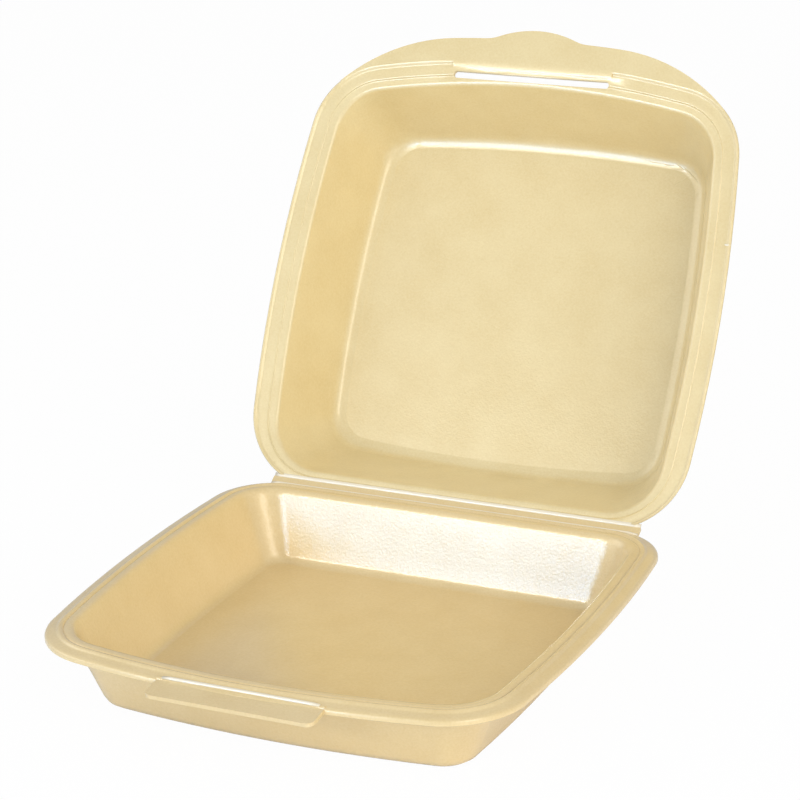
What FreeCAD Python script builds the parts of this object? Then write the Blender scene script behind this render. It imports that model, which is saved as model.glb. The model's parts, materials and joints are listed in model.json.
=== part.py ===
import FreeCAD, Part
import math
import os

# A hinged takeaway tray, thermoformed from one foam sheet: tray, hinge strip and lid.
# Millimetres, +Z up. The origin is the centre of the tray's underside, the hinge lies
# along X behind it, and the locking tab is at the front, on the -Y side.

Vector = FreeCAD.Vector

# Rim outline in plan, shared by the tray and the closed lid
rim_half_width = 120.0
rim_front = 117.0
crease_y = 109.4
crease_cut = 2.8            # the hinge line trims this much off the rounded back
widest_y = 11.0             # the bowed sides stand furthest out here
side_radius = 800.0
front_radius = 460.0
back_radius = 20000.0       # all but straight
front_corner = 38.0
back_corner = 32.0

# Tray
tray_sheet = 2.7
tray_rim_sheet = 2.2
rim_height = 35.0           # top of the flat flange
wall_lean = 15.0            # the side and front walls run in this far to the floor
back_lean = 11.2            # the back wall is steeper
floor_side_radius = 920.0
floor_front_radius = 600.0
floor_front_corner = 13.0
floor_back_corner = 12.0
floor_soft = 3.8            # how far the floor's rounding reaches from its corner
foot_soft = 5.0

# Tray rim section, from the edge inwards: a sloping flange, a step up to a bead, a seam, a shoulder
edge_drop = 0.4             # the flange's edge curls down below rim_height
brow_inset = 1.4
brow_rise = 0.5
step_inset = 5.2
step_rise = 1.2
bead_inset = 6.0
bead_width = 1.5
bead_rise = 2.3
seam_inset = 8.5
seam_depth = 0.9
seam_side = 0.7
shoulder_drop = 0.3
mouth_inset = 13.4
mouth_soft = 3.4

# Hinge strip between its two creases
strip_length = 5.4
strip_inset = 21.5          # its ends stop this far inside the rim's greatest width
strip_sheet = 1.5
crease_gap = 0.5            # slit that stands for each crease line
strip_corner = 1.2

# Lid
lid_sheet = 1.7
lid_depth = 41.0
lid_crease_cut = 4.2        # the lid's rim is cut off wider corners behind than the tray's
lid_back_corner = 40.0
lid_mouth_inset = 13.4
lid_mouth_back = 4.0        # the mouth's back edge from the crease
lid_mouth_back_corner = 26.0
lid_side_lean = 14.9        # the walls run in this far to the top panel
lid_front_lean = 18.2
lid_back_lean = 17.4
panel_side_radius = 850.0
panel_end_radius = 870.0
panel_corner = 20.0
panel_soft = 5.0

# Lid rim section: places as shares of the way from the edge to the mouth, and heights
band_share = 0.10           # the raised band along the edge ends here
band_rise = 1.1
face_share = 0.18           # and the lower face begins here
line_share = 0.57           # two fine pressed lines, a groove and a step down to the land
line_step = 0.04
line_depth = 0.35
land_drop = 0.4

# Lid lip, slot and the tray's tab
lip_reach = 10.6            # the lip's straight part beyond the flange edge
lip_top_radius = 600.0
lip_end_radius = 95.0
thumb_reach = 4.9
thumb_radius = 55.0
thumb_blend = 18.0
lip_lap = 0.7               # how far the lip's sheet runs in over the rim's band
tab_half_width = 40.0
tab_root_inset = 3.5
tab_length = 13.6
tab_droop = 6.0             # degrees
tab_sheet = 1.9
tab_corner = 3.5
tab_ridge_rise = 0.9
tab_ridge_width = 2.4
slot_clearance = 2.0        # at each end of the tab
slot_inset = 9.8
slot_height = 3.4
pad_inset = 5.8             # the lip's raised face runs in this far in front of the slot
pad_reach = 1.0             # and this far past the slot's ends

open_angle = 120.0          # how far the lid is turned back from closed

# Roundings of the section longer than these are made with more, shorter flats
slight_round = 0.95
broad_round = 2.0


def outline(half_width, front, back, side_r, front_r, back_r, front_c, back_c, z=0.0):
    """Plan outline with bowed sides: reaches, radii of the bows, corner radii, height."""
    return dict(half_width=half_width, front=front, back=back, side=1 / side_r,
                head=1 / front_r, tail=1 / back_r, front_corner=front_c,
                back_corner=back_c, z=z, soft=0.0)


def blend(a, b, share):
    return {key: a[key] * (1 - share) + b[key] * share for key in a}


def at(shape, inset, z, soft=0.0):
    """The outline moved inwards by inset, at height z, with its rounding length."""
    moved = dict(shape)
    for key in ("half_width", "front", "back", "front_corner", "back_corner"):
        moved[key] = shape[key] - inset
    for key in ("side", "head", "tail"):
        moved[key] = shape[key] / (1 - shape[key] * inset)
    moved["z"] = z
    moved["soft"] = soft
    return moved


def crossings(a, reach_a, b, reach_b):
    """Where two circles cross, the one further left first."""
    across = b - a
    gap = across.Length
    along = (gap ** 2 + reach_a ** 2 - reach_b ** 2) / (2 * gap)
    off = math.sqrt(reach_a ** 2 - along ** 2)
    unit = across * (1 / gap)
    normal = Vector(-unit.y, unit.x, 0)
    foot = a + unit * along
    return sorted([foot + normal * off, foot - normal * off], key=lambda p: p.x)


def middle(centre, r, a, b):
    """The point of an arc halfway between its ends."""
    bisector = (a - centre) + (b - centre)
    return centre + bisector * (r / bisector.Length)


def corner(side_centre, side_r, end_centre, end_r, r):
    """The ends and middle of a corner arc inside a side bow and an end bow."""
    centre = crossings(side_centre, side_r - r, end_centre, end_r - r)[1]
    on_side = side_centre + (centre - side_centre) * (side_r / (side_r - r))
    on_end = end_centre + (centre - end_centre) * (end_r / (end_r - r))
    return on_side, middle(centre, r, on_side, on_end), on_end


def mirrored(p):
    return Vector(-p.x, p.y, p.z)


def arc(a, b, c):
    return Part.Arc(a, b, c).toShape()


def wire(shape):
    """The outline as one closed wire of eight tangent arcs."""
    side_r = 1 / shape["side"]
    head_r = 1 / shape["head"]
    tail_r = 1 / shape["tail"]
    side_centre = Vector(shape["half_width"] - side_r, widest_y, 0)
    head_centre = Vector(0, head_r - shape["front"], 0)
    tail_centre = Vector(0, shape["back"] - tail_r, 0)
    side_f, mid_f, head = corner(side_centre, side_r, head_centre, head_r, shape["front_corner"])
    side_b, mid_b, tail = corner(side_centre, side_r, tail_centre, tail_r, shape["back_corner"])
    front = Vector(0, -shape["front"], 0)
    side = Vector(shape["half_width"], widest_y, 0)
    back = Vector(0, shape["back"], 0)
    m = mirrored
    edges = [arc(m(head), front, head), arc(head, mid_f, side_f), arc(side_f, side, side_b),
             arc(side_b, mid_b, tail), arc(tail, back, m(tail)), arc(m(tail), m(mid_b), m(side_b)),
             arc(m(side_b), m(side), m(side_f)), arc(m(side_f), m(mid_f), m(head))]
    closed = Part.Wire(edges)
    closed.translate(Vector(0, 0, shape["z"]))
    return closed


def rounded(stations):
    """Round the section: each soft station becomes a short curve between its neighbours."""
    result = []
    for before, here, after in zip(stations, stations[1:], stations[2:]):
        if not here["soft"]:
            result.append(here)
            continue
        ends = []
        for other in (before, after):
            run = math.hypot(other["half_width"] - here["half_width"], other["z"] - here["z"])
            most = 0.48 if other["soft"] else 0.95
            ends.append(blend(here, other, min(here["soft"] / run, most)))
        steps = 1 + (here["soft"] > slight_round) + (here["soft"] > broad_round)
        for step in range(steps + 1):
            t = step / steps
            result.append(blend(blend(ends[0], here, t), blend(here, ends[1], t), t))
    return [stations[0]] + result + [stations[-1]]


def sheet_body(stations):
    """One thin moulded sheet: a loft up the inside, over the rim and down the outside."""
    loft = Part.makeLoft([wire(s) for s in rounded(stations)], True, True)
    return Part.Solid(loft.Shells[0]) if loft.ShapeType != "Solid" else loft


rim = outline(rim_half_width, rim_front, crease_y + crease_cut, side_radius, front_radius,
              back_radius, front_corner, back_corner)
crest_z = rim_height + bead_rise
lid_z = rim_height + strip_length        # the closed lid's rim plane


def tray_shell():
    wall_inset = mouth_inset + wall_lean
    floor = outline(rim_half_width - wall_inset, rim_front - wall_inset,
                    crease_y + crease_cut - mouth_inset - back_lean, floor_side_radius,
                    floor_front_radius, back_radius, floor_front_corner, floor_back_corner)
    shoulder_z = crest_z - shoulder_drop
    slope = wall_lean / (shoulder_z - tray_sheet)
    across = tray_sheet * math.hypot(1, slope)      # the sheet measured level
    outer_mouth = mouth_inset + tray_rim_sheet * slope - across
    foot = at(floor, tray_sheet * slope - across, 0.0)
    edge_z = rim_height - edge_drop
    step_z = rim_height + step_rise
    stations = [
        at(floor, 1.1 * floor_soft, tray_sheet),
        at(floor, 0, tray_sheet, floor_soft),
        at(rim, mouth_inset, shoulder_z, mouth_soft),
        at(rim, seam_inset + seam_side, shoulder_z, 0.4),
        at(rim, seam_inset, crest_z - seam_depth),
        at(rim, bead_inset + bead_width, crest_z, 0.5),
        at(rim, bead_inset, crest_z, 0.5),
        at(rim, step_inset, step_z, 0.5),
        at(rim, brow_inset, rim_height + brow_rise, 1.0),
        at(rim, 0, edge_z, 0.5),
        at(rim, 0, edge_z - tray_rim_sheet, 0.5),
        at(rim, step_inset, step_z - tray_rim_sheet, 0.8),
        at(rim, outer_mouth, shoulder_z - tray_rim_sheet, 1.6),
        at(foot, 0, 0, foot_soft),
        at(foot, 1.1 * foot_soft, 0),
    ]
    return sheet_body(stations)


def lid_shell():
    mouth = outline(rim_half_width - lid_mouth_inset, rim_front - lid_mouth_inset,
                    crease_y - lid_mouth_back, side_radius - lid_mouth_inset,
                    front_radius - lid_mouth_inset, back_radius,
                    front_corner - lid_mouth_inset, lid_mouth_back_corner)
    panel = outline(mouth["half_width"] - lid_side_lean, mouth["front"] - lid_front_lean,
                    mouth["back"] - lid_back_lean, panel_side_radius,
                    panel_end_radius, panel_end_radius, panel_corner, panel_corner)
    lid_rim = outline(rim_half_width, rim_front, crease_y + lid_crease_cut, side_radius,
                      front_radius, back_radius, front_corner, lid_back_corner)
    slope = lid_side_lean / lid_depth
    across = lid_sheet * math.hypot(1, slope)
    outer_panel = at(panel, lid_sheet * slope - across, 0)
    outer_mouth = at(mouth, lid_sheet * slope - across, 0)

    def on_rim(share, rise, soft=0.0):
        return at(blend(lid_rim, mouth, share), 0, lid_z - rise, soft)

    panel_z = lid_z + lid_depth
    top_soft = panel_soft + lid_sheet / 2
    stations = [
        at(panel, 1.1 * panel_soft, panel_z),
        at(panel, 0, panel_z, panel_soft),
        at(mouth, 0, lid_z + land_drop, 1.6),
        on_rim(line_share + 3 * line_step, -land_drop),
        on_rim(line_share + 2 * line_step, 0),
        on_rim(line_share + line_step, -line_depth),
        on_rim(line_share, 0),
        on_rim(face_share, 0, 0.4),
        on_rim(band_share, band_rise, 0.4),
        on_rim(0, band_rise, 0.5),
        on_rim(0, band_rise - lid_sheet, 0.5),
        on_rim(band_share, band_rise - lid_sheet),
        on_rim(face_share, -lid_sheet),
        at(outer_mouth, 0, lid_z + lid_sheet + land_drop, 1.6),
        at(outer_panel, 0, panel_z + lid_sheet, top_soft),
        at(outer_panel, 1.1 * top_soft, panel_z + lid_sheet),
    ]
    return sheet_body(stations)


def behind(y):
    """A block of everything behind the plane at y, to trim the back of a rim."""
    size = 4 * rim_half_width
    return Part.makeBox(size, size, size, Vector(-size / 2, y, -size / 2))


def plate(edges, z, thickness):
    return Part.Face(Part.Wire(edges)).extrude(Vector(0, 0, thickness)).translated(Vector(0, 0, z))


def rounded_box(half_width, y_front, y_back, r, z, thickness):
    """A level plate with its two front corners rounded."""
    k = r * (1 - math.sqrt(0.5))
    left = Vector(-half_width, y_back, 0)
    right = Vector(half_width, y_back, 0)
    a = Vector(half_width, y_front + r, 0)
    b = Vector(half_width - r, y_front, 0)
    mid = Vector(half_width - k, y_front + k, 0)
    m = mirrored
    edges = [Part.makeLine(left, right), Part.makeLine(right, a), arc(a, mid, b),
             Part.makeLine(b, m(b)), arc(m(b), m(mid), m(a)), Part.makeLine(m(a), left)]
    return plate(edges, z, thickness)


def tab():
    """The tray's locking tab, with the raised ridge along its root."""
    root = -(rim_front - tab_root_inset)
    tip = root - tab_length
    top = rim_height + 0.1
    tongue = rounded_box(tab_half_width, tip, root, tab_corner, top - tab_sheet, tab_sheet)
    tongue.rotate(Vector(0, root, top), Vector(1, 0, 0), tab_droop)
    half = tab_ridge_width / 2
    ends = [Vector(-tab_half_width, y, top - 0.4) for y in (root - half, root + half)]
    crown = Vector(-tab_half_width, root, top + tab_ridge_rise)
    section = Part.Wire([arc(ends[0], crown, ends[1]), Part.makeLine(ends[1], ends[0])])
    ridge = Part.Face(section).extrude(Vector(2 * tab_half_width, 0, 0))
    return tongue.fuse(ridge)


def lip():
    """The lid's front lip: a shallow curve with a thumb tab, running into the rim's corners."""
    top_y = -(rim_front + lip_reach)
    top_centre = Vector(0, top_y + lip_top_radius, 0)
    side_centre = Vector(rim_half_width - side_radius, widest_y, 0)
    front_centre = Vector(0, front_radius - rim_front, 0)
    rim_corner = crossings(side_centre, side_radius - front_corner,
                           front_centre, front_radius - front_corner)[1]
    # the end arc touches the top arc and the rim's corner from inside
    wrap = lip_end_radius - front_corner
    end_centre = crossings(rim_corner, wrap, top_centre, lip_top_radius - lip_end_radius)[0]
    turn = top_centre + (end_centre - top_centre) * (lip_top_radius / (lip_top_radius - lip_end_radius))
    end = rim_corner + (rim_corner - end_centre) * (front_corner / wrap)
    bend = middle(end_centre, lip_end_radius, turn, end)
    # the thumb tab's hollows touch its arc and the top arc from outside
    thumb_centre = Vector(0, top_y - thumb_reach + thumb_radius, 0)
    reach = thumb_radius + thumb_blend
    far = lip_top_radius + thumb_blend
    hollow_centre = crossings(thumb_centre, reach, top_centre, far)[1]
    on_thumb = thumb_centre + (hollow_centre - thumb_centre) * (thumb_radius / reach)
    on_top = top_centre + (hollow_centre - top_centre) * (lip_top_radius / far)
    dip = middle(hollow_centre, thumb_blend, on_thumb, on_top)
    top_mid = middle(top_centre, lip_top_radius, on_top, turn)
    crown = Vector(0, top_y - thumb_reach, 0)
    m = mirrored
    edges = [arc(m(end), m(bend), m(turn)), arc(m(turn), m(top_mid), m(on_top)),
             arc(m(on_top), m(dip), m(on_thumb)), arc(m(on_thumb), crown, on_thumb),
             arc(on_thumb, dip, on_top), arc(on_top, top_mid, turn), arc(turn, bend, end),
             Part.makeLine(end, m(end))]
    face_z = lid_z - band_rise
    inner = Part.Face(wire(at(rim, lip_lap, face_z))).extrude(Vector(0, 0, lid_sheet))
    return plate(edges, face_z, lid_sheet).cut(inner)


def slot():
    """Cutter for the long slot with round ends in the lid's front rim."""
    half = tab_half_width + slot_clearance
    r = slot_height / 2
    y = -(rim_front - slot_inset)
    a = Vector(-half + r, y - r, 0)
    b = Vector(half - r, y - r, 0)
    c = Vector(half - r, y + r, 0)
    d = Vector(-half + r, y + r, 0)
    edges = [Part.makeLine(a, b), arc(b, Vector(half, y, 0), c), Part.makeLine(c, d),
             arc(d, Vector(-half, y, 0), a)]
    return plate(edges, lid_z - 10, 20)


def slot_pad():
    """The raised face in front of the slot, which ends in a step like the band's."""
    half = tab_half_width + slot_clearance + pad_reach
    front = -(rim_front - lip_lap)
    step = -(rim_front - pad_inset)
    run = (face_share - band_share) * lid_mouth_inset / 2
    face_z = lid_z - band_rise
    back_z = face_z + lid_sheet
    corners = [(front, face_z), (step - run, face_z), (step + run, lid_z),
               (step + run, back_z), (front, back_z)]
    points = [Vector(-half, y, z) for y, z in corners]
    section = Part.Face(Part.makePolygon(points + points[:1]))
    return section.extrude(Vector(2 * half, 0, 0))


def hinge_strip():
    """The flat strip between the creases, standing as it does when the lid is closed."""
    half_width = rim_half_width - strip_inset
    height = strip_length - crease_gap
    blank = Part.makeBox(2 * half_width, strip_sheet, height,
                         Vector(-half_width, crease_y, rim_height + crease_gap / 2))
    ends = [e for e in blank.Edges
            if abs(e.BoundBox.YLength - strip_sheet) < 0.01 and e.BoundBox.ZLength < 0.01]
    return blank.makeFillet(strip_corner, ends)


def opened(shape, on_strip=False):
    """Turn a closed piece back: half of the opening at each crease."""
    half = open_angle / 2
    axis = Vector(1, 0, 0)
    if not on_strip:
        shape.rotate(Vector(0, crease_y, lid_z), axis, -half)
    shape.rotate(Vector(0, crease_y, rim_height), axis, -half)
    return shape


def save(shape, name):
    solid = shape.removeSplitter() if len(shape.Solids) == 1 else shape
    print(name, "solids", len(solid.Solids), "valid", solid.isValid(),
          "volume", round(solid.Volume), "faces", len(solid.Faces))
    solid.Solids[0].exportStep("parts/" + name + ".step")


os.makedirs("parts", exist_ok=True)
back_trim = behind(crease_y - crease_gap / 2)
save(tray_shell().fuse(tab()).cut(back_trim), "tray")
save(opened(hinge_strip(), on_strip=True), "hinge_strip")
save(opened(lid_shell().fuse(lip().fuse(slot_pad())).cut(slot()).cut(back_trim)), "lid")
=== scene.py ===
import bpy
import bmesh
import json
import math
import random
from mathutils import Matrix, Vector
from mathutils.bvhtree import BVHTree


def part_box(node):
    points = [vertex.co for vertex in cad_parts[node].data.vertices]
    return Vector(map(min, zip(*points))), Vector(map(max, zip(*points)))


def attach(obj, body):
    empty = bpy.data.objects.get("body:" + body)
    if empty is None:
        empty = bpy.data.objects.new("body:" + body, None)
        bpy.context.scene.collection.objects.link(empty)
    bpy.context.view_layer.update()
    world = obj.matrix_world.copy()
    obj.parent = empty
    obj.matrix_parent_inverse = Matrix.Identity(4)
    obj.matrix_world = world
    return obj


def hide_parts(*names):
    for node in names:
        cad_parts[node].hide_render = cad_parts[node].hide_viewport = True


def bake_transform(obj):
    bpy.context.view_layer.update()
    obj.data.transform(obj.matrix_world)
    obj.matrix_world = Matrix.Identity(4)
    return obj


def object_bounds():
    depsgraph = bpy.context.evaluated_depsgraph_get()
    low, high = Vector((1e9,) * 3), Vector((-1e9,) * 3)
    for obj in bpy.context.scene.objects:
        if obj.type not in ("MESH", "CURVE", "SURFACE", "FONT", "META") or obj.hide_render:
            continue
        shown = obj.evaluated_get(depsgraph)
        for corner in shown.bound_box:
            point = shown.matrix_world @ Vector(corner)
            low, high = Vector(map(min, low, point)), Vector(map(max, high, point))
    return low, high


# An open hinged takeaway tray of pearl-filmed foam. The frame's solids give its shape, and each half
# gets a smooth skin. The ridges of its pressed folds and a few marks of forming are added to that.

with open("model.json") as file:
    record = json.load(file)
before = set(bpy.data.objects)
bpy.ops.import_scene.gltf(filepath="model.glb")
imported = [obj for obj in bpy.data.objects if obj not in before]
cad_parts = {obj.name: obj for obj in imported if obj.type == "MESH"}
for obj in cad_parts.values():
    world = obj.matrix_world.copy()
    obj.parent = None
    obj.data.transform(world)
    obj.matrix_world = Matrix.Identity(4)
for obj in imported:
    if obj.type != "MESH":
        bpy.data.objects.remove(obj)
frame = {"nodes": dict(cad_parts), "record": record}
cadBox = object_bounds()
mm = 0.001
print("frame loaded")


def linear(hexColour):  # sRGB hex to the linear values that sockets take
    parts = [int(hexColour[i:i + 2], 16) / 255 for i in (1, 3, 5)]
    return [p / 12.92 if p <= 0.04045 else ((p + 0.055) / 1.055) ** 2.4 for p in parts] + [1.0]


def addNode(tree, kind, settings=None, inputs=None, links=None):
    node = tree.nodes.new(kind)
    for key, value in (settings or {}).items():
        setattr(node, key, value)
    for key, value in (inputs or {}).items():
        node.inputs[key].default_value = value
    for key, socket in (links or {}).items():
        tree.links.new(socket, node.inputs[key])
    return node


def newPiece(name, bm, material):
    mesh = bpy.data.meshes.new(name)
    bm.to_mesh(mesh)
    bm.free()
    mesh.materials.append(material)
    mesh.shade_smooth()
    piece = bpy.data.objects.new(name, mesh)
    bpy.context.collection.objects.link(piece)
    return piece


# The film is one pearl champagne laminate. Each part wears it with its own polish and grain, and the lid's
# copy is paler as a painted sheen.
pearlFilm = {
    "deep": "#DDC083",          # where the film lies thin over the foam's cells
    "pale": "#F1DAA7",
    "cell": 1.1 * mm,           # foam cells under the film, drawn about twice their real width to show
    "cellDetail": 2.0,
    "cellRoughness": 0.6,
    "mottle": 22 * mm,          # soft clouds in the colour, and the swells that go with them
    "mottleDetail": 3.0,
    "waveDepth": 0.18 * mm,     # how far the sheet swells and sinks from mottle to mottle
    "allDeep": 0.2,             # mottle and cells added up, where the colour is all deep
    "allPale": 1.8,             # and where it is all pale
    "metallic": 0.15,           # pearl pigment
    "roughness": 0.36,
    "coat": 1.0,
    "ior": 1.59,                # polystyrene
}


def pearlFilmOnFoam(name, cellDepth, coatRoughness, deep=pearlFilm["deep"], pale=pearlFilm["pale"]):
    # Polystyrene foam under a pearl-pigmented film: a soft gloss, broken by fine cells and slow swells
    material = bpy.data.materials.new(name)
    material.use_nodes = True
    tree = material.node_tree
    tree.nodes.clear()
    place = addNode(tree, "ShaderNodeTexCoord")
    mottle = addNode(tree, "ShaderNodeTexNoise",
                     inputs={"Scale": 1 / pearlFilm["mottle"], "Detail": pearlFilm["mottleDetail"]},
                     links={"Vector": place.outputs["Object"]})
    cells = addNode(tree, "ShaderNodeTexNoise",
                    inputs={"Scale": 1 / pearlFilm["cell"], "Detail": pearlFilm["cellDetail"],
                            "Roughness": pearlFilm["cellRoughness"]},
                    links={"Vector": place.outputs["Object"]})
    spread = addNode(tree, "ShaderNodeMath", {"operation": "ADD"},
                     links={0: mottle.outputs["Fac"], 1: cells.outputs["Fac"]})
    share = addNode(tree, "ShaderNodeMapRange",
                    inputs={"From Min": pearlFilm["allDeep"], "From Max": pearlFilm["allPale"]},
                    links={"Value": spread.outputs[0]})
    colour = addNode(tree, "ShaderNodeMix", {"data_type": "RGBA"}, {6: linear(deep), 7: linear(pale)},
                     {0: share.outputs[0]})
    waves = addNode(tree, "ShaderNodeBump", inputs={"Strength": 1.0, "Distance": pearlFilm["waveDepth"]},
                    links={"Height": mottle.outputs["Fac"]})
    bump = addNode(tree, "ShaderNodeBump", inputs={"Strength": 1.0, "Distance": cellDepth},
                   links={"Height": cells.outputs["Fac"], "Normal": waves.outputs[0]})
    shader = addNode(tree, "ShaderNodeBsdfPrincipled",
                     inputs={"Roughness": pearlFilm["roughness"], "Metallic": pearlFilm["metallic"],
                             "IOR": pearlFilm["ior"], "Coat IOR": pearlFilm["ior"],
                             "Coat Weight": pearlFilm["coat"], "Coat Roughness": coatRoughness},
                     links={"Base Color": colour.outputs[2], "Normal": bump.outputs[0],
                            "Coat Normal": bump.outputs[0]})
    addNode(tree, "ShaderNodeOutputMaterial", links={"Surface": shader.outputs[0]})
    return material


trayFilm = pearlFilmOnFoam("pearlFilmOnTrayFoam", cellDepth=0.09 * mm, coatRoughness=0.18)
# The lid's copy is paler than the tray's, a painted sheen for the lid's panel
lidFilmWithPaintedSheen = pearlFilmOnFoam("pearlFilmOnLidFoamWithPaintedSheen", cellDepth=0.08 * mm, coatRoughness=0.22,
                          deep="#DDC488", pale="#F2E0AE")
stripFilm = pearlFilmOnFoam("pearlFilmOnStripFoam", cellDepth=0.03 * mm, coatRoughness=0.2)
paleFoldFilmWithPaintedHighlight = pearlFilmOnFoam("stretchedFilmOnCreaseWithPaintedHighlight", cellDepth=0.02 * mm, coatRoughness=0.16,
                           deep="#F1E4C6", pale="#F8EFD9")      # paler where a press has stretched it, and paler still as a painted highlight along the folds
print("films mixed")

formedSkin = {
    "mergeGap": 0.001 * mm,
    "flatAngle": math.radians(30),
    "sharpAngle": math.radians(50),     # trimmed edges keep their corner, formed ones are smoothed
}


def skinOf(node, name, material):
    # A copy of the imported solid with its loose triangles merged, so flats stay flat and bends shade round
    bm = bmesh.new()
    bm.from_mesh(frame["nodes"][node].data)
    bmesh.ops.remove_doubles(bm, verts=bm.verts, dist=formedSkin["mergeGap"])
    bmesh.ops.join_triangles(bm, faces=bm.faces, angle_face_threshold=formedSkin["flatAngle"],
                             angle_shape_threshold=math.pi)
    sharp = [edge.calc_face_angle(0) > formedSkin["sharpAngle"] for edge in bm.edges]
    piece = newPiece(name, bm, material)
    piece.data.edges.foreach_set("use_edge_sharp", sharp)
    weights = piece.modifiers.new("flatsFirst", "WEIGHTED_NORMAL")
    weights.keep_sharp = True
    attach(piece, node)
    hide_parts(node)
    return piece


def surfaceOf(piece):  # for the rays that lay marks on a skin
    mesh = piece.data
    return BVHTree.FromPolygons([v.co for v in mesh.vertices], [p.vertices[:] for p in mesh.polygons])


traySkin = skinOf("tray", "traySkin", trayFilm)
traySurface = surfaceOf(traySkin)
lidSkin = skinOf("lid", "lidSkin", lidFilmWithPaintedSheen)
lidSurface = surfaceOf(lidSkin)
frame["nodes"]["hinge_strip"].material_slots[0].material = stripFilm
print("formed pieces skinned")

# The slope of the strip, and the plane of the open lid, follow from the two hinges in the record
hinges = {joint["name"]: Vector(joint["pos_m"]) for joint in frame["record"]["behaviour"]["joints"]}
stripRun = hinges["lid_crease"] - hinges["base_crease"]
stripSlope = math.atan2(stripRun.z, stripRun.y)
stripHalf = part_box("hinge_strip")[1].x
lidSlope = 2 * stripSlope       # the sheet turns by the same angle at each crease
lidUp = Vector((0, math.cos(lidSlope), math.sin(lidSlope)))
lidFace = Vector((0, -lidUp.z, lidUp.y))


def bridgeRings(bm, rings):
    # A closed solid through rings of places, capped at both ends
    loops = []
    for ring in rings:
        verts = [bm.verts.new(place) for place in ring]
        loops.append([bm.edges.new(pair) for pair in zip(verts, verts[1:] + verts[:1])])
    for one, other in zip(loops, loops[1:]):
        bmesh.ops.bridge_loops(bm, edges=one + other)
    for end in (loops[0], loops[-1]):
        bmesh.ops.contextual_create(bm, geom=end)


ridge = {
    "root": 0.45 * mm,      # how deep a ridge is rooted in the sheet
    "steps": 10,            # round its back
    "taper": 4 * mm,
    "tip": 0.35,            # share of the height left at the ends
}


def pressedRidge(name, at, slope, size, reach):
    # The rounded ridge that pressing raises along a fold
    width, height = size
    across = Vector((0, math.cos(slope), math.sin(slope)))
    out = Vector((0, -across.z, across.y))
    inner = reach - ridge["taper"]
    rings = []
    for x, share in ((-reach, ridge["tip"]), (-inner, 1.0), (inner, 1.0), (reach, ridge["tip"])):
        middle = at + Vector((x, 0, 0))
        ring = []
        for step in range(ridge["steps"] + 1):
            angle = math.pi * step / ridge["steps"]
            ring.append(middle - across * (math.cos(angle) * width / 2)
                        + out * (math.sin(angle) * height * share))
        for side in (1, -1):
            ring.append(middle + across * (side * width / 2) - out * ridge["root"])
        rings.append(ring)
    bm = bmesh.new()
    bridgeRings(bm, rings)
    bmesh.ops.recalc_face_normals(bm, faces=bm.faces)
    # The ridge wears the paler crease film: stretched film with a painted highlight along its back
    return newPiece(name, bm, paleFoldFilmWithPaintedHighlight)


crease = {
    "short": 0.3 * mm,                  # the ridges stop this far short of the strip's ends
    "base": (1.6 * mm, 1.2 * mm),       # width and height
    "lid": (2.2 * mm, 0.8 * mm),
}


def creaseRidge(name, hinge, slope, size):
    # A ridge along a crease, its width lying across from one body to the other
    at = hinges[hinge]
    piece = pressedRidge(name, at, slope, size, stripHalf - crease["short"])
    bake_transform(piece)


# Each ridge lies halfway between the slopes of the sheet before and after its crease
creaseRidge("baseCreaseRidge", "base_crease", stripSlope / 2, crease["base"])
creaseRidge("lidCreaseRidge", "lid_crease", (stripSlope + lidSlope) / 2, crease["lid"])

tab = {
    "length": 13.6 * mm,            # from its root in the rim to its tip, which sets the tray's front
    "droop": math.radians(6),
    "reach": 37.5 * mm,             # of the ridge along the root, to each side
    "size": (1.9 * mm, 0.7 * mm),   # width and height
}
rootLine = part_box("tray")[0].y + tab["length"] * math.cos(tab["droop"])
root = traySurface.ray_cast(Vector((0, rootLine, cadBox[1].z)), Vector((0, 0, -1)))[0]
# The root's ridge wears the paler crease film too, a painted highlight along the root
tabRidge = pressedRidge("tabRootRidge", root, 0, tab["size"], tab["reach"])
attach(tabRidge, "tray")
print("creases drawn")

# Small marks of forming and use: the film gathered in one corner of the lid, and a welt on its rim
overRim = 20 * mm       # rays onto the lid start this far off the plane of its rim


def faceAt(x, up):
    # The lid's inner face behind a place across the lid and up from the crease, and its normal there
    start = hinges["lid_crease"] + Vector((x, 0, 0)) + lidUp * up + lidFace * overRim
    return lidSurface.ray_cast(start, -lidFace)[:2]


gather = {                  # all in mm
    "folds": [              # each fold's ends, across the lid and up from the crease, and its height
        ((53, 191.0), (63, 189.2), 0.16),
        ((62, 189.6), (70, 188.8), 0.20),
        ((66, 187.0), (77, 187.8), 0.26),
        ((70, 189.8), (76, 186.4), 0.22),
        ((74, 189.2), (80, 183.6), 0.20),
        ((77, 187.4), (84, 180.6), 0.28),
        ((79, 189.4), (83, 184.0), 0.22),
        ((70, 178.0), (79, 184.4), 0.14),
    ],
    "halfWidth": 0.35,
    "tip": 0.25,            # share of the width left at the ends
    "wander": 0.35,         # how far a fold strays from straight
    "ripple": 0.4,          # share of that in a quicker ripple
    "rippleAngle": 9,       # how far the ripple's phase runs from end to end
    "sunk": 0.1,            # how deep its sides are rooted in the film
    "section": [(-1, 0), (-0.6, 0.6), (0, 1), (0.6, 0.6), (1, 0)],     # shares of half width and height
    "steps": 16,
    "seed": 4,
}


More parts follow.
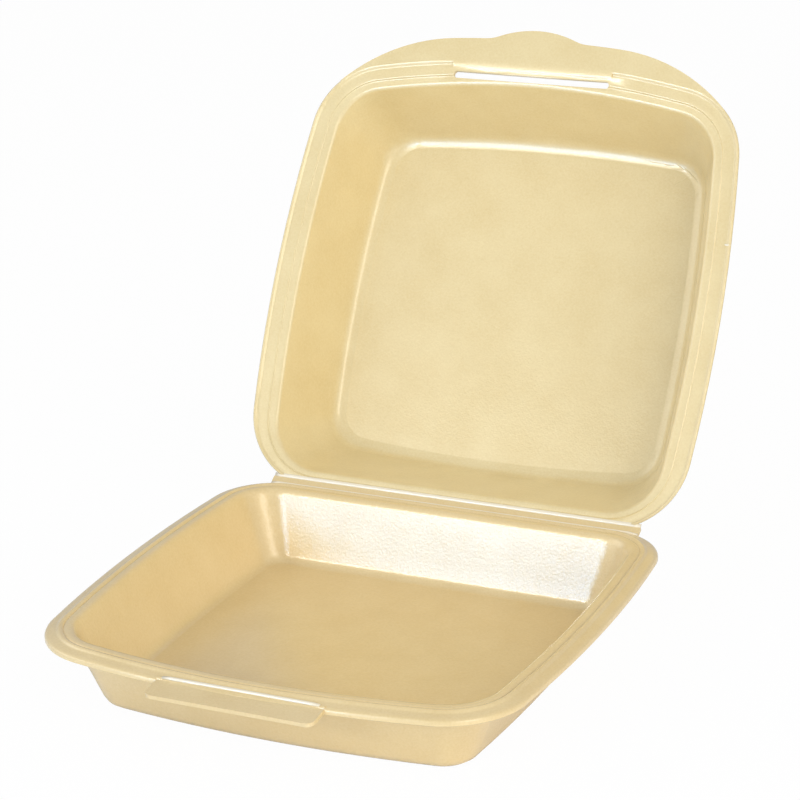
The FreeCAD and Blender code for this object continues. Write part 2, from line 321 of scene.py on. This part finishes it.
def filmFold(bm, start, end, height, chance):
    # A thin fold in the film, laid on the lid's skin and thinning out at both ends
    run = Vector(end) - Vector(start)
    aside = Vector((-run.y, run.x)).normalized()
    bend, phase = chance.uniform(-1, 1), chance.uniform(0, math.tau)
    rings = []
    for step in range(gather["steps"] + 1):
        along = step / gather["steps"]
        swell = math.sin(math.pi * along)
        ripple = gather["ripple"] * math.sin(gather["rippleAngle"] * along + phase)
        place = Vector(start) + run * along + aside * (gather["wander"] * (bend * swell + ripple))
        top, normal = faceAt(place.x * mm, place.y * mm)
        level = (Vector((1, 0, 0)) * aside.x + lidUp * aside.y).normalized()
        side = (level - normal * level.dot(normal)).normalized()
        width = gather["halfWidth"] * (gather["tip"] + (1 - gather["tip"]) * swell)
        ring = []
        for across, rise in gather["section"]:
            proud = height * swell * rise - gather["sunk"] * (1 - rise)
            ring.append(top + side * (width * across * mm) + normal * (proud * mm))
        rings.append(ring)
    bridgeRings(bm, rings)


gathered = bmesh.new()
chance = random.Random(gather["seed"])
for start, end, height in gather["folds"]:
    filmFold(gathered, start, end, height, chance)
bmesh.ops.recalc_face_normals(gathered, faces=gathered.faces)
lidCorner = newPiece("gatheredLidCorner", gathered, lidFilmWithPaintedSheen)
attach(lidCorner, "lid")

welt = {
    "place": (117.2 * mm, 141.4 * mm),              # across the lid and up from the crease
    "size": (3.2 * mm, 1.1 * mm, 0.7 * mm),         # across, up and off the face
    "segments": 24,
}
drop = bmesh.new()
bmesh.ops.create_uvsphere(drop, u_segments=welt["segments"], v_segments=welt["segments"] // 2, radius=0.5)
bmesh.ops.scale(drop, vec=welt["size"], verts=drop.verts)
onLid = Matrix((Vector((1, 0, 0)), lidUp, lidFace)).transposed().to_4x4()
bmesh.ops.transform(drop, matrix=Matrix.Translation(faceAt(*welt["place"])[0]) @ onLid, verts=drop.verts)
# The welt wears the paler crease film, stretched film with a painted highlight
rimWelt = newPiece("rimWelt", drop, paleFoldFilmWithPaintedHighlight)
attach(rimWelt, "lid")
print("marks added")

studio = {
    "paper": "#F4F3F1",
    "floorWhite": 0.97,     # share of plain white that the camera sees in the floor
    "floorReach": 6.0,
    "worldLevel": 0.49,
    "plainWhite": (1.0, 1.0, 1.0),
    "coolWhite": (0.22, 0.50, 1.0),
}


def whitePaper(name):
    # Matt paper that the camera sees nearly plain white, with a little of its own shade for the shadow
    material = bpy.data.materials.new(name)
    material.use_nodes = True
    tree = material.node_tree
    tree.nodes.clear()
    rays = addNode(tree, "ShaderNodeLightPath")
    share = addNode(tree, "ShaderNodeMath", {"operation": "MULTIPLY"}, {1: studio["floorWhite"]},
                    {0: rays.outputs["Is Camera Ray"]})
    paper = addNode(tree, "ShaderNodeBsdfDiffuse", inputs={"Color": linear(studio["paper"])})
    white = addNode(tree, "ShaderNodeEmission", inputs={"Color": (1, 1, 1, 1), "Strength": 1.0})
    mixed = addNode(tree, "ShaderNodeMixShader",
                    links={0: share.outputs[0], 1: paper.outputs[0], 2: white.outputs[0]})
    addNode(tree, "ShaderNodeOutputMaterial", links={"Surface": mixed.outputs[0]})
    return material


def whiteRoom(name):
    # Even light from all round, and plain white where the camera looks past the tray
    world = bpy.data.worlds.new(name)
    world.use_nodes = True
    tree = world.node_tree
    tree.nodes.clear()
    rays = addNode(tree, "ShaderNodeLightPath")
    room = addNode(tree, "ShaderNodeBackground",
                   inputs={"Color": (1, 1, 1, 1), "Strength": studio["worldLevel"]})
    sweep = addNode(tree, "ShaderNodeBackground", inputs={"Color": (1, 1, 1, 1), "Strength": 1.0})
    both = addNode(tree, "ShaderNodeMixShader",
                   links={0: rays.outputs["Is Camera Ray"], 1: room.outputs[0], 2: sweep.outputs[0]})
    addNode(tree, "ShaderNodeOutputWorld", links={"Surface": both.outputs[0]})
    return world


sheet = bmesh.new()
bmesh.ops.create_grid(sheet, x_segments=1, y_segments=1, size=studio["floorReach"])
floor = newPiece("paperSweep", sheet, whitePaper("whitePaperSweep"))
bpy.context.scene.world = whiteRoom("studio")


def softBox(name, at, aim, size, power, colour=studio["plainWhite"], mirrored=True):
    lamp = bpy.data.lights.new(name, "AREA")
    lamp.shape = "RECTANGLE"
    lamp.size, lamp.size_y = size
    lamp.energy = power
    lamp.color = colour
    box = bpy.data.objects.new(name, lamp)
    box.visible_glossy = mirrored
    box.location = at
    box.rotation_euler = (Vector(aim) - Vector(at)).to_track_quat("-Z", "Y").to_euler()
    bpy.context.collection.objects.link(box)


middle = (cadBox[0] + cadBox[1]) / 2
trayBack = (0, 0.1, 0.02)
lidFoot = (0, 0.1, 0.1)
lamps = {
    # A low pair on the left shines off the tray's back wall
    "lowBox": {"at": (-0.55, -1.20, 0.315), "aim": trayBack, "size": (0.64, 0.25), "power": 3.05,
               "colour": studio["coolWhite"]},
    "stripBox": {"at": (-0.41, -1.20, 0.36), "aim": trayBack, "size": (0.36, 0.17), "power": 0.9,
                 "colour": studio["coolWhite"]},
    # A large one on the right lights the whole, unmirrored so that no flat face burns out in any pose,
    # with a small one in its place for the glints along the edges and a fill for the left walls
    "rightBox": {"at": (1.3, -0.9, 1.0), "aim": middle, "size": (2.2, 1.8), "power": 18.0,
                 "mirrored": False},
    "glintBox": {"at": (1.25, -1.0, 1.0), "aim": middle, "size": (0.5, 0.8), "power": 3.2},
    "sideBox": {"at": (1.4, -0.5, 0.45), "aim": middle, "size": (0.6, 0.5), "power": 2.2,
                "mirrored": False},
    "leftBox": {"at": (-1.3, -0.3, 0.8), "aim": middle, "size": (1.2, 1.0), "power": 3.8},
    # A narrow one draws the thin bright lines along the rims and folds
    "barBox": {"at": (-0.55, -1.18, 0.60), "aim": lidFoot, "size": (0.5, 0.06), "power": 3.2},
}
for name, lamp in lamps.items():
    softBox(name, **lamp)

viewpoint = {
    "target": (0, 55.2 * mm, 109.8 * mm),
    "distance": 1268.5 * mm,
    "azimuth": math.radians(24.88),     # to the right of the front
    "elevation": math.radians(19.71),
    "roll": math.radians(-1.6),
    "lens": 122.28,                     # on a sensor 36 wide
    "sensor": 36,
}
camera = bpy.data.objects.new("camera", bpy.data.cameras.new("camera"))
camera.data.lens = viewpoint["lens"]
camera.data.sensor_width = viewpoint["sensor"]
around, above = viewpoint["azimuth"], viewpoint["elevation"]
back = Vector((math.sin(around) * math.cos(above), -math.cos(around) * math.cos(above), math.sin(above)))
camera.location = Vector(viewpoint["target"]) + back * viewpoint["distance"]
level = back.to_track_quat("Z", "Y").to_matrix()
camera.rotation_euler = (level @ Matrix.Rotation(viewpoint["roll"], 3, "Z")).to_euler()
bpy.context.collection.objects.link(camera)
bpy.context.scene.camera = camera
bpy.context.scene.view_settings.view_transform = "Standard"
print("studio set")
